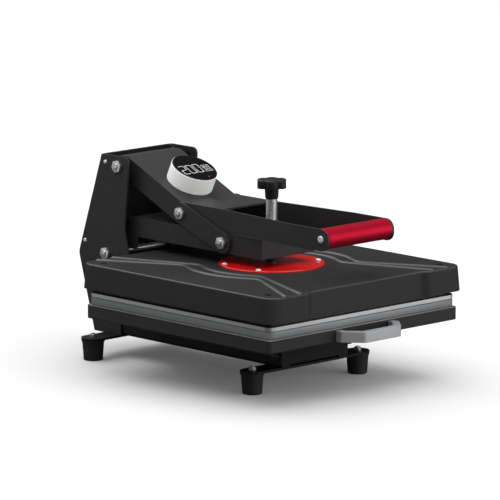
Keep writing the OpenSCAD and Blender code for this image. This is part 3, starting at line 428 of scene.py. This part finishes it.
# Above its milled flange the casting is coloured black: painted shade in the recess under the head cover's
# overhang
flange_high = 5.6 * MM
recoloured_above(cast_aluminium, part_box("heat_platen")[0].z + flange_high, "#121212", 0.0)
dress(cast_aluminium, "heat_platen")
dress(heater_sheath, "heating_element")
dress(fibre_board, "insulation_board")
dress(turned_steel, "platen_posts")


# Head cover: a deep drawn steel cover with a set-back front, round corners and two pressed
# ridges on each side that curve round the disc. Sprayed dark grey, with four corner screws.
cover_low, cover_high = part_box("platen_cover")
ridge_high = 1.6 * MM
cover_top = cover_high.z - ridge_high
cover_corner = 22 * MM
cover_edge = 2.4 * MM
cover_draft = 2.5 * MM
cover_wall = 3 * MM
setback = 7 * MM
block_wide = 80 * MM
step_round = 6 * MM
step_run = 4 * MM
pocket_radius = 5 * MM
pocket_deep = 2.4 * MM
pocket_steps = 24
centre = (cover_low + cover_high) / 2
block_x = cover_high.x - block_wide
front = cover_low.y
step_out = block_x + step_run
step_in = block_x - step_run
outline = [(cover_low.x, front), (-step_out, front), (-step_in, front + setback),
           (step_in, front + setback), (step_out, front), (cover_high.x, front),
           (cover_high.x, cover_high.y), (cover_low.x, cover_high.y)]
rounds = [((0, 5, 6, 7), cover_corner, 24), ((1, 4), step_round, 12), ((2, 3), step_round, 12)]
shape, top = rounded_slab(outline, cover_low.z, cover_top, rounds)
lean = (1 - cover_draft / cover_high.x, 1 - cover_draft / (cover_high.y - centre.y), 1)
bmesh.ops.scale(shape, verts=top, vec=lean, space=Matrix.Translation(-centre))
bmesh.ops.bevel(shape, geom=rim_of(shape, cover_top), offset=cover_edge, offset_type="OFFSET", segments=6,
                profile=0.5, affect="EDGES", material=-1)
level_normal = 0.9999
flat = [f for f in shape.faces if abs(f.normal.z) > level_normal]
bmesh.ops.delete(shape, geom=flat, context="FACES_ONLY")
cover_screw_spots = [middle for middle, _ in solid_middles("cover_screws")]
holes = []
for spot in cover_screw_spots:
    ring = bmesh.ops.create_circle(shape, segments=pocket_steps, radius=pocket_radius,
                                   matrix=Matrix.Translation((spot.x, spot.y, cover_top)))
    holes.append(list({e for v in ring["verts"] for e in v.link_edges}))
bmesh.ops.triangle_fill(shape, use_beauty=True, use_dissolve=False, edges=rim_of(shape, cover_top))
for ring in holes:
    wall = bmesh.ops.extrude_edge_only(shape, edges=ring)
    low_ring = [v for v in wall["geom"] if isinstance(v, bmesh.types.BMVert)]
    bmesh.ops.translate(shape, verts=low_ring, vec=(0, 0, -pocket_deep))
    floor_edges = [e for e in wall["geom"] if isinstance(e, bmesh.types.BMEdge)]
    bmesh.ops.contextual_create(shape, geom=floor_edges)


def highlighted_bends(material, plain, highlight_shine):
    """Raises a coat's shine from plain on flat faces to a painted highlight where the sheet is bent.

    Bent is where the normal's rise lies past a wall's range and short of a top's."""
    wall_rise = {"From Min": 0.12, "From Max": 0.35}
    top_rise = {"From Min": 0.998, "From Max": 0.98}
    skin = material.node_tree.nodes["Principled BSDF"]
    way = add(material, "ShaderNodeTexCoord").outputs["Normal"]
    rise = add(material, "ShaderNodeSeparateXYZ", None, {"Vector": way}).outputs["Z"]
    off_wall = add(material, "ShaderNodeMapRange", wall_rise, {"Value": rise})
    off_top = add(material, "ShaderNodeMapRange", top_rise, {"Value": rise})
    bent = add(material, "ShaderNodeMath", {"operation": "MULTIPLY"},
               {0: off_wall.outputs["Result"], 1: off_top.outputs["Result"]})
    shine = add(material, "ShaderNodeMapRange", {"To Min": plain, "To Max": highlight_shine},
                {"Value": bent.outputs["Value"]})
    material.node_tree.links.new(shine.outputs["Result"], skin.inputs["Specular IOR Level"])


def shaded_pockets(material, spots, code):
    """Gives a material another colour in the pockets, whose four spots mirror each other.

    The mask is a ball under each spot that meets the cover's top just inside the pocket's rim."""
    below = 4.5 * MM
    inside = 0.1 * MM
    reach = math.hypot(below, pocket_radius - inside)
    middle = sum(spots, Vector()) / len(spots)
    away = spots[0] - middle
    place = add(material, "ShaderNodeTexCoord").outputs["Object"]
    moved = add(material, "ShaderNodeVectorMath",
                {"operation": "SUBTRACT", 1: (middle.x, middle.y, cover_top)}, {0: place})
    folded = add(material, "ShaderNodeVectorMath", {"operation": "ABSOLUTE"}, {0: moved.outputs["Vector"]})
    off = add(material, "ShaderNodeVectorMath",
              {"operation": "DISTANCE", 1: (abs(away.x), abs(away.y), below)},
              {0: folded.outputs["Vector"]})
    mask = add(material, "ShaderNodeMath", {"operation": "LESS_THAN", 1: reach}, {0: off.outputs["Value"]})
    tint(material, mask.outputs["Value"], code)


# Sprayed matt enamel: dark grey and even, with a fine stipple from the spray gun, drawn at 1.2 mm
# because the real 0.4 mm is too fine to show. Its rims and ridges get a painted highlight: a stronger
# shine where the surface slopes.
spray_enamel = surface("sprayed_matt_enamel", ("#2b2b2c", "#262627"), patch=70, grain=1.2, depth=0.02,
                       rough=(0.38, 0.46))
highlighted_bends(spray_enamel, plain=0.06, highlight_shine=0.5)
# The corner pockets are coloured near black: painted shade in the deep recesses
shaded_pockets(spray_enamel, cover_screw_spots, "#080808")
head_cover = piece("head_cover", shape, spray_enamel, "platen", sharp=5)
# The sheet's cut edge below stays sharp when the wall gets its thickness
for edge in head_cover.data.edges:
    if all(abs(head_cover.data.vertices[i].co.z - cover_low.z) < near for i in edge.vertices):
        edge.use_edge_sharp = True
thick = head_cover.modifiers.new("sheet", "SOLIDIFY")
thick.thickness = cover_wall
thick.offset = -1
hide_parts("platen_cover")


# Pressed ridges: the two raised lines on each side of the cover, from its front edge
# round the disc to its back edge. Pressed with the cover, so they have the same enamel.
def eased(points, step, passes):
    """The same line with points a step apart, its corners eased by averaging neighbours."""
    even = [points[0]]
    for a, b in zip(points, points[1:]):
        parts = max(1, round((b - a).length / step))
        even += [a.lerp(b, i / parts) for i in range(1, parts + 1)]
    for _ in range(passes):
        inner = [(p + 2 * q + r) / 4 for p, q, r in zip(even, even[1:], even[2:])]
        even = [even[0]] + inner + [even[-1]]
    return even


def swept(shape, line, section, end_share):
    """Adds a bar whose section of (across, up) points runs along a line.

    At its two ends the bar is down to a share of its height."""
    rings = []
    for i, point in enumerate(line):
        ahead = (line[min(i + 1, len(line) - 1)] - line[max(i - 1, 0)]).normalized()
        across = ahead.cross(Vector((0, 0, 1))).normalized()
        up = across.cross(ahead)
        share = end_share if i in (0, len(line) - 1) else 1
        ring = [shape.verts.new(point + across * s + up * (h * share if h > 0 else h))
                for s, h in section]
        rings.append([shape.edges.new(pair) for pair in zip(ring, ring[1:] + ring[:1])])
    for a, b in zip(rings, rings[1:]):
        bmesh.ops.bridge_loops(shape, edges=a + b)
    for end in (rings[0], rings[-1]):
        bmesh.ops.contextual_create(shape, geom=end)


ridge_wide = 8.4 * MM
crest_wide = 2.4 * MM
crest_high = 2 * MM
ridge_radii = (103 * MM, 126 * MM)
ridge_turn = math.radians(38)
ridge_spread = 1.32
ridge_sunk = 0.4 * MM
ridge_parts = 24
ridge_step = 3 * MM
ridge_easing = 16
half_deep = (cover_high.y - cover_low.y) / 2
ridge_short = 0.45 * cover_edge
ridge_end = half_deep - cover_draft - ridge_short
flank = [(ridge_wide / 2, -ridge_sunk), (ridge_wide / 2, 0), (crest_wide / 2, crest_high)]
section = [(-across, up) for across, up in flank] + flank[::-1]


def cover_height(y):
    """Height of the cover's top at a distance from its middle, less over the rounded edge."""
    over = max(0.0, abs(y) - (half_deep - cover_draft - cover_edge))
    return cover_top - cover_edge + math.sqrt(max(0.0, cover_edge ** 2 - over ** 2))


shape = bmesh.new()
for radius in ridge_radii:
    for side in (-1, 1):
        arc = [Vector((side * radius * math.cos(a), radius * math.sin(a), 0))
               for a in [ridge_turn * (2 * i / ridge_parts - 1) for i in range(ridge_parts + 1)]]
        ends = [Vector((side * ridge_spread * radius, y, 0)) for y in (-ridge_end, ridge_end)]
        line = [Vector((p.x, p.y + centre.y, cover_height(p.y)))
                for p in eased([ends[0]] + arc + [ends[1]], ridge_step, ridge_easing)]
        swept(shape, line, section, end_share=0.25)
piece("pressed_ridges", shape, spray_enamel, "platen", sharp=45)


# Cover screws: black button heads sunk in the pockets at the cover's corners.
# Blackened steel, dull and dry, so the pockets look like black spots.
black_oxide = surface("black_oxide_steel", ("#0e0e0f", "#0b0b0c"), patch=6, grain=0.5, depth=0.01,
                      rough=(0.5, 0.6), shader={"Specular IOR Level": 0.15})
shape = bmesh.new()
for spot in cover_screw_spots:
    seat = Vector((spot.x, spot.y, cover_top - pocket_deep))
    head = domed_head(4.7 * MM, height=2.2 * MM, socket=1.6 * MM, shank=2 * MM, length=11 * MM)
    put(shape, head, facing(seat, "up"))
corner_screws = piece("corner_screws", shape, black_oxide, "platen")
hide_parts("cover_screws")


# Pressure disc: a round steel plate on the cover that takes the screw's push, with four
# screws. Stoved gloss red, so it mirrors the arm above it.
stoved_red = surface("stoved_gloss_red", ("#c2110e", "#b40d0c"), patch=50, grain=2.5, depth=0.004,
                     rough=(0.16, 0.24))
dress(stoved_red, "pressure_disc")
disc_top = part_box("pressure_disc")[1].z
shape = bmesh.new()
for middle, _ in solid_middles("disc_screws"):
    seat = Vector((middle.x, middle.y, disc_top))
    head = domed_head(4.2 * MM, height=2.2 * MM, socket=1.6 * MM, shank=3 * MM, length=15 * MM)
    put(shape, head, facing(seat, "up"))
disc_screws = piece("disc_screw_set", shape, nickel_plate, "platen")
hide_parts("disc_screws")


# Pressure screw: a steel rod with a fine rolled thread of 2 mm pitch, and a plain collar
# at its foot that is held in the hub under the disc.
def threaded(radius, core, pitch, low, high, steps):
    """A rod with a helical thread from low to high, plain core to its ends."""
    part = bmesh.new()
    turns = int((high - low) / pitch) - 1
    tooth = [(core, 0), (radius, 0.38 * pitch), (radius, 0.62 * pitch), (core, pitch)]
    points = [part.verts.new((r, 0, low + z)) for r, z in tooth]
    edges = [part.edges.new(pair) for pair in zip(points, points[1:])]
    bmesh.ops.spin(part, geom=points + edges, cent=(0, 0, 0), axis=(0, 0, 1),
                   dvec=(0, 0, pitch / steps), angle=2 * math.pi * turns, steps=steps * turns)
    bmesh.ops.remove_doubles(part, verts=part.verts, dist=near)
    bmesh.ops.holes_fill(part, edges=[e for e in part.edges if e.is_boundary], sides=0)
    return part


screw_low, screw_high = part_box("pressure_screw")
screw_radius = 8.5 * MM
screw_core = 7.5 * MM
screw_broken = 0.5 * MM
collar_high = 6.4 * MM
thread_sunk = 0.05 * MM
thread_from = cover_top + 3 * MM
thread_to = screw_high.z - 6 * MM
screw_axis = Vector(((screw_low.x + screw_high.x) / 2, (screw_low.y + screw_high.y) / 2, 0))


def on_screw(height):
    """A place on the screw's axis at a height."""
    return Matrix.Translation(screw_axis + Vector((0, 0, height)))


shape = bmesh.new()
put(shape, rod(screw_high.x, collar_high, screw_broken), on_screw(screw_low.z))
put(shape, rod(screw_core, screw_high.z - screw_low.z, screw_broken), on_screw(screw_low.z))
thread = threaded(screw_radius, screw_core - thread_sunk, pitch=2 * MM, low=thread_from,
                  high=thread_to, steps=28)
put(shape, thread, on_screw(0))
# Below its nut the thread is coloured near black: painted shade under the arm; bright steel above the nut
thread_shaded_below_nut = surface("rolled_thread_painted_shade_below_nut", ("#2b2b2a", "#222221"), patch=10, grain=0.5,
                         depth=0.001, rough=(0.36, 0.44))
recoloured_above(thread_shaded_below_nut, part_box("screw_nut")[0].z, "#dcdddf", 1.0)
thread_rod = piece("threaded_rod", shape, thread_shaded_below_nut, "screw", sharp=25)
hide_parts("pressure_screw")


# Hand knob: six soft lobes on a tapered neck, moulded over the end of the screw.
# Glass-filled nylon, black, with a dull moulded skin.
knob_low, knob_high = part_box("pressure_knob")
knob_radius = 22.5 * MM
lobe_deep = 4.4 * MM
lobes = 6
lobe_power = 3
lobe_turn = math.radians(-14)
knob_steps = 120
head_thick = 12.5 * MM
neck_foot = 9.75 * MM
neck_head = 10.6 * MM
head_foot = knob_high.z - head_thick
shape = bmesh.new()
made = bmesh.ops.create_circle(shape, cap_ends=True, segments=knob_steps, radius=knob_radius)
for v in made["verts"]:
    swing = math.cos(lobes * (math.atan2(v.co.y, v.co.x) - lobe_turn))
    v.co *= 1 - lobe_deep / knob_radius * (0.5 - 0.5 * swing) ** lobe_power
grown = bmesh.ops.extrude_face_region(shape, geom=shape.faces[:])
top = [v for v in grown["geom"] if isinstance(v, bmesh.types.BMVert)]
bmesh.ops.translate(shape, verts=top, vec=(0, 0, head_thick))
soft_foot = 0.5 * MM
soft_top = 2.4 * MM
for height, soft in ((0, soft_foot), (head_thick, soft_top)):
    bmesh.ops.bevel(shape, geom=rim_of(shape, height), offset=soft, offset_type="OFFSET", segments=4,
                    profile=0.5, affect="EDGES", material=-1)
bmesh.ops.transform(shape, matrix=on_screw(head_foot), verts=shape.verts)
neck_lap = 1 * MM
neck_lift = 0.2 * MM
neck_top = head_foot - knob_low.z + neck_lap
neck_round = 2.5 * MM
foot_curve = [(neck_foot - neck_round + neck_round * math.sin(a), neck_round - neck_round * math.cos(a))
              for a in [math.radians(15 * i) for i in range(7)]]
neck_bore = [(screw_radius, neck_top), (screw_radius, neck_lift)]
neck = turned(neck_bore[1:] + foot_curve + [(neck_head, neck_top)] + neck_bore, steps=48)
put(shape, neck, on_screw(knob_low.z))
hand_knob = piece("hand_knob", shape, moulded_nylon, "screw", sharp=45)
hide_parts("pressure_knob")


# Lever: one bent steel frame with a sloped top plate and two arms that spread round the
# knob to the grip. Powder coated black like the stand.
dress(powder_coat, "lever_frame")


# Grip: an aluminium tube between the handle arms, anodised red, with a button head bolt
# at each end. The dye lies in a clear oxide skin, so the red has a metal shine under it.
anodised_red = surface("red_anodised_aluminium", ("#c41a38", "#b4152f"), patch=30, grain=0.7,
                       depth=0.004, rough=(0.5, 0.58), stretch=(0.03, 1, 1), shader={"Metallic": 1.0})
dress(anodised_red, "grip_sleeve")
grip_head = 2.8 * MM
handle_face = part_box("grip_bolts")[1].x - grip_head
shape = bmesh.new()
for middle, half in solid_middles("grip_bolts"):
    way = "right" if middle.x > 0 else "left"
    seat = Vector((math.copysign(handle_face, middle.x), middle.y, middle.z))
    head = domed_head(half.y, grip_head, socket=2.2 * MM, shank=4 * MM, length=28 * MM)
    put(shape, head, facing(seat, way))
grip_screws = piece("grip_screws", shape, nickel_plate, "lever")
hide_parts("grip_bolts")


# Display: a white drum screwed to the lever's sloped plate, with a round black face
# behind which the numbers light up. ABS drum with a black print on its rim, acrylic face.
# Moulded white plastic: bright and satin, so its shading stays soft
white_abs = surface("moulded_white_abs", ("#fafaf8", "#f4f3f0"), patch=30, grain=0.8, depth=0.008,
                    rough=(0.46, 0.54), edge=0.2)
# Polished smoked acrylic: near black, and it mirrors sharply
smoked_acrylic = surface("polished_smoked_acrylic", ("#0d0d0e", "#0a0a0b"), patch=40, grain=3.0,
                         depth=0.002, rough=(0.06, 0.1))
lever_slope = math.radians(24.87)
face_thick = 1.5 * MM
rim_print = 0.45 * MM
face_low, face_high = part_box("display_face")
face_up = Vector((0, -math.sin(lever_slope), math.cos(lever_slope)))
face_top = (face_low + face_high) / 2 + face_up * face_thick / 2
recoloured_above(white_abs, face_top.dot(face_up) - rim_print, "#0d0d0e", 0.0, face_up)
dress(white_abs, "display_housing")
dress(smoked_acrylic, "display_face")


# Digits: lit seven-part numbers that shine through the face, a large one and two small ones,
# and a red key light. They are thin bars on the face, white for the numbers.
bar_lift = 0.05 * MM
bar_thick = 0.1 * MM
on_face = Matrix.Translation(face_top + face_up * bar_lift) @ Matrix.Rotation(lever_slope, 4, "X")
PARTS_LIT = {"0": "abcdef", "2": "abged", "6": "afgedc"}
PART_MIDDLES = {"a": (0.5, 1), "g": (0.5, 0.5), "d": (0.5, 0),
                "f": (0, 0.75), "b": (1, 0.75), "e": (0, 0.25), "c": (1, 0.25)}


def number(shape, digits, left, low, wide, high, bar, gap):
    """Adds seven-part digits, each part a thin bar with mitred ends."""
    reach = high / 2 - bar / 2
    length_share = 0.94
    mitre = 0.38 * bar
    for i, digit in enumerate(digits):
        start = left + i * (wide + gap)
        for name in PARTS_LIT[digit]:
            u, v = PART_MIDDLES[name]
            upright = name in "fbec"
            long = (reach if upright else wide - bar) * length_share
            at = Vector((start + bar / 2 + u * (wide - bar), low + bar / 2 + v * (high - bar), 0))
            part = bmesh.new()
            bmesh.ops.create_grid(part, x_segments=1, y_segments=1, size=0.5)
            bmesh.ops.scale(part, verts=part.verts, vec=(bar, long, 1) if upright else (long, bar, 1))
            bmesh.ops.bevel(part, geom=part.verts[:], offset=mitre, offset_type="OFFSET", segments=1,
                            profile=0.5, affect="VERTICES", material=-1)
            grown = bmesh.ops.extrude_face_region(part, geom=part.faces[:])
            raised = [v for v in grown["geom"] if isinstance(v, bmesh.types.BMVert)]
            bmesh.ops.translate(part, verts=raised, vec=(0, 0, bar_thick))
            put(shape, part, on_face @ Matrix.Translation(at))


def lit(name, tones, glow, strength):
    """Smoked diffuser with light coming through it."""
    return surface(name, tones, patch=4, grain=0.6, depth=0.0, rough=(0.4, 0.5),
                   shader={"Emission Color": linear(glow), "Emission Strength": strength})


shape = bmesh.new()
number(shape, "200", left=-28.5 * MM, low=-13 * MM, wide=10.4 * MM, high=21 * MM,
       bar=0.55 * MM, gap=3.4 * MM)
for digits, low in (("060", -3.5 * MM), ("200", -13 * MM)):
    number(shape, digits, left=13.5 * MM, low=low, wide=3.6 * MM, high=7 * MM,
           bar=0.3 * MM, gap=1.6 * MM)
white_lit = lit("white_lit_diffuser", ("#4a4a48", "#3c3c3a"), "#f4f4f0", 1.5)
piece("lit_numbers", shape, white_lit, "lever")
key_radius = 2.2 * MM
key_thick = 0.05 * MM
key_spot = (7 * MM, -26 * MM, 0)
shape = bmesh.new()
key = turned([(0, 0), (key_radius, 0), (key_radius, key_thick), (0, key_thick)], steps=24)
put(shape, key, on_face @ Matrix.Translation(key_spot))
red_lit = lit("red_lit_diffuser", ("#3a0c10", "#2c080b"), "#5a1015", 0.5)
piece("key_light", shape, red_lit, "lever")


# Links: two steel straps from the lever's knee to the arm, each with a bolt and hex nut
# at both ends. Powder coated straps, zinc plated bolts.
dress(powder_coat, "link_left", "link_right")
link_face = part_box("link_right")[1].x
lever_wall_inside = 51 * MM
nut_clear = 0.3 * MM
for name, inner in (("knee_bolts", True), ("link_end_bolts", False)):
    shape = bmesh.new()
    for middle, half in solid_middles(name):
        way, back = ("right", "left") if middle.x > 0 else ("left", "right")
        seat = Vector((math.copysign(link_face, middle.x), middle.y, middle.z))
        put_nut(shape, seat, way)
        put(shape, rod(bolt_radius, 2 * half.x - head_high, broken=0.6 * MM), facing(seat, back))
        if inner:
            nut_x = math.copysign(lever_wall_inside - nut_clear, middle.x)
            nut_seat = Vector((nut_x, middle.y, middle.z))
            put(shape, hex_nut(nut_across, nut_high, bolt_radius, tip_high), facing(nut_seat, back))
    bolts = piece(name + "_set", shape, zinc_plate, "link")
    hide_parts(name)


# Studio: a plain pale floor under a soft sky that is brightest overhead, with broad lights from
# above and front, a strip behind for the edges and cards at the sides for the metal to mirror.
# To the camera the floor is white paper. To the press it is grey and throws less light up.
floor_half = 60
shape = bmesh.new()
bmesh.ops.create_grid(shape, x_segments=1, y_segments=1, size=floor_half)
floor_mesh = bpy.data.meshes.new("floor")
shape.to_mesh(floor_mesh)
shape.free()
floor = bpy.data.objects.new("floor", floor_mesh)
scene.collection.objects.link(floor)
paper = bpy.data.materials.new("white_paper_roll")
paper.use_nodes = True
floor_mesh.materials.append(paper)
paper_skin = paper.node_tree.nodes["Principled BSDF"]
paper_skin.inputs["Roughness"].default_value = 0.9
paper_skin.inputs["Specular IOR Level"].default_value = 0.0
seen = add(paper, "ShaderNodeLightPath").outputs["Is Camera Ray"]
to_press = linear("#464646")
to_camera = linear("#b5b5b5")
camera_fill = 0.05
tone = add(paper, "ShaderNodeMix", {"data_type": "RGBA", 6: to_press, 7: to_camera}, {0: seen})
fill = add(paper, "ShaderNodeMapRange", {"To Max": camera_fill}, {"Value": seen})
paper_skin.inputs["Emission Color"].default_value = (1, 1, 1, 1)
paper.node_tree.links.new(tone.outputs[2], paper_skin.inputs["Base Color"])
paper.node_tree.links.new(fill.outputs["Result"], paper_skin.inputs["Emission Strength"])

world = bpy.data.worlds.new("dim_surround")
world.use_nodes = True
scene.world = world
surround = world.node_tree.nodes["Background"]
surround.inputs["Color"].default_value = (1, 1, 1, 1)
mirrored = add(world, "ShaderNodeLightPath").outputs["Is Glossy Ray"]
way = add(world, "ShaderNodeTexCoord").outputs["Generated"]
rise = add(world, "ShaderNodeSeparateXYZ", None, {"Vector": way}).outputs["Z"]
sky_low = 0.45
sky_high = 1.4
sky_mirrored = 0.05
sky = add(world, "ShaderNodeMapRange", {"To Min": sky_low, "To Max": sky_high}, {"Value": rise})
glow = add(world, "ShaderNodeMix", {"data_type": "FLOAT", 3: sky_mirrored},
           {0: mirrored, 2: sky.outputs["Result"]})
world.node_tree.links.new(glow.outputs[0], surround.inputs["Strength"])


def lamp(name, kind, place, aim, settings):
    """A lamp at a place, turned to a point."""
    data = bpy.data.lights.new(name, kind)
    for field, value in settings.items():
        setattr(data, field, value)
    made = bpy.data.objects.new(name, data)
    made.location = place
    made.rotation_euler = (Vector(aim) - Vector(place)).to_track_quat("-Z", "Y").to_euler()
    scene.collection.objects.link(made)


def card(name, place, aim, wide, high, bright):
    """An evenly lit card of a brightness, where 1 is white."""
    lamp(name, "AREA", place, aim, {"shape": "RECTANGLE", "size": wide, "size_y": high,
                                    "energy": bright * math.pi * wide * high})


lamp("overhead_soft_light", "SUN", place=(-0.25, 0.2, 3), aim=(0, 0, 0),
     settings={"energy": 2.6, "angle": math.radians(80)})
lamp("front_soft_light", "SUN", place=(0.9, -2.7, 1.5), aim=(0, 0, 0),
     settings={"energy": 0.9, "angle": math.radians(40)})
card("back_strip", place=(0.5, 2.3, 2.1), aim=(0, 0, 0.15), wide=2.0, high=1.5, bright=2.4)
card("left_card", place=(-0.7, 0.7, 0.25), aim=(-0.05, 0.1, 0.2), wide=0.9, high=0.46, bright=0.55)
card("front_card", place=(0.75, -1.05, 0.26), aim=(0, -0.25, 0.12), wide=1.0, high=0.5, bright=2.2)
card("front_left_card", place=(-0.35, -1.4, 0.2), aim=(0, -0.25, 0.12), wide=0.8, high=0.36, bright=1.5)


# Camera: low at the front left, far off with a long lens, as the picture was taken
view_turn = math.radians(-43.81)
view_tilt = math.radians(10.27)
camera_data = bpy.data.cameras.new("camera")
camera_data.sensor_width = 36
camera_data.lens = 366.84
camera_data.clip_end = 100
camera = bpy.data.objects.new("camera", camera_data)
camera.location = (-5.12404, -5.35139, 1.52405)
camera.rotation_euler = (math.pi / 2 - view_tilt, 0, view_turn)
scene.collection.objects.link(camera)
scene.camera = camera
scene.view_settings.view_transform = "Standard"
